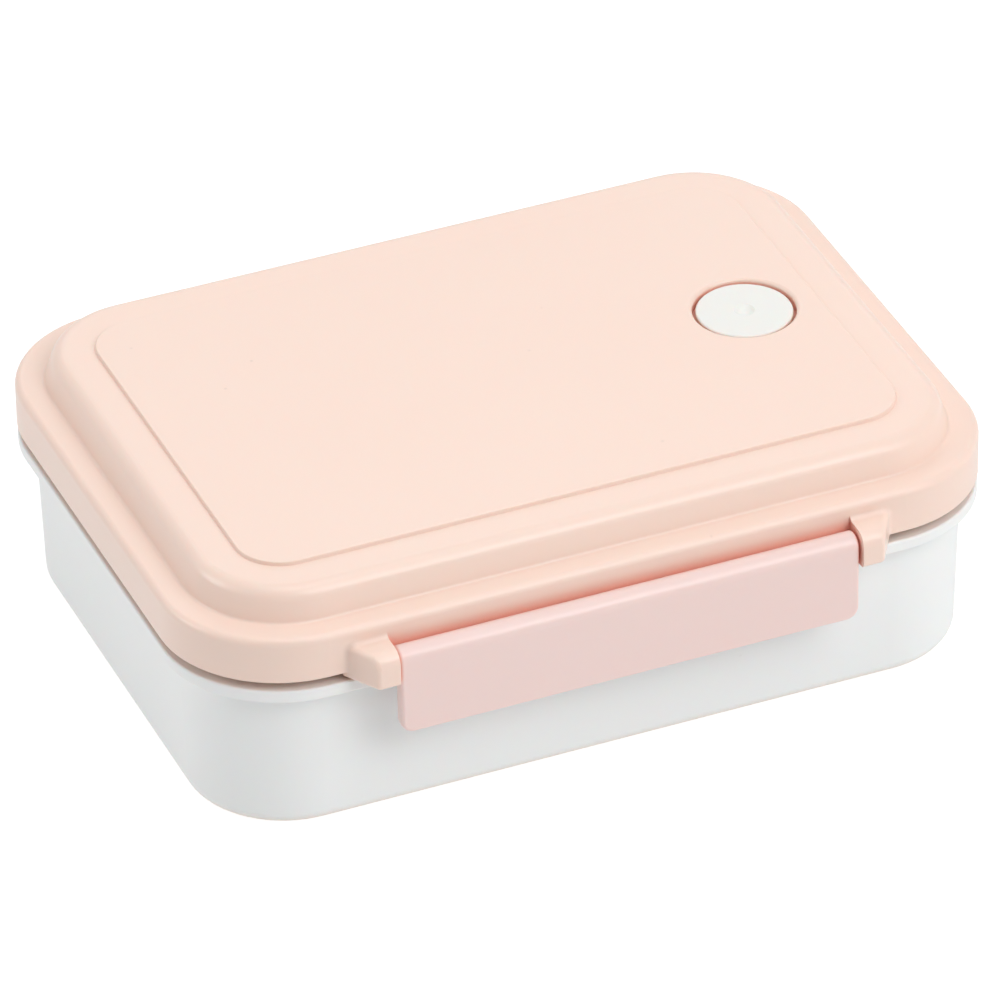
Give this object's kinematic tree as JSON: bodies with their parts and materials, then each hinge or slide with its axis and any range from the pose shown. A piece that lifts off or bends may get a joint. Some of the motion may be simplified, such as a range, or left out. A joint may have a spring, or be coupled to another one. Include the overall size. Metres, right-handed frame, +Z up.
{
  "type": "bento lunch box",
  "caption": "One-tier rectangular lunch box: drafted tub with a flanged rim, domed lid with side clips, a round steam vent valve, a sealing ring and a cross divider.",
  "frame": {"origin": "middle of the tub's base, on the surface it stands on", "axes": "+X along the long side, towards the short end nearer the vent valve; -Y towards the front latch; +Z up, through the lid"},
  "size_m": [0.178, 0.144, 0.0559],
  "materials": {
    "container": "satin moulded polypropylene, off-white",
    "lid": "satin moulded polypropylene, pale pink",
    "lid_gasket": "translucent white silicone",
    "front_latch": "satin moulded polypropylene, pale pink",
    "rear_latch": "satin moulded polypropylene, pale pink",
    "vent_valve": "matt white silicone",
    "divider": "satin moulded polypropylene, off-white"
  },
  "bodies": {
    "tub": {"container": "container"},
    "lid_body": {"lid": "lid", "lid_gasket": "lid_gasket"},
    "latch_front": {"front_latch": "front_latch"},
    "latch_rear": {"rear_latch": "rear_latch"},
    "valve": {"vent_valve": "vent_valve"},
    "divider_wall": {"divider": "divider"}
  },
  "joints": [
    {"name": "lid_lift", "type": "slide", "parent": "tub", "child": "lid_body", "axis": [0, 0, 1], "range_m": [0, 0.09]},
    {"name": "front_latch_hinge", "type": "hinge", "parent": "lid_body", "child": "latch_front", "pos_m": [0, -0.0682, 0.041], "axis": [-1, 0, 0], "range_deg": [0, 110]},
    {"name": "rear_latch_hinge", "type": "hinge", "parent": "lid_body", "child": "latch_rear", "pos_m": [0, 0.0682, 0.041], "axis": [1, 0, 0], "range_deg": [0, 110]},
    {"name": "valve_lift", "type": "slide", "parent": "lid_body", "child": "valve", "axis": [0, 0, 1], "range_m": [0, 0.003]},
    {"name": "divider_slide", "type": "slide", "parent": "tub", "child": "divider_wall", "axis": [1, 0, 0], "range_m": [-0.067, 0.023]}
  ]
}
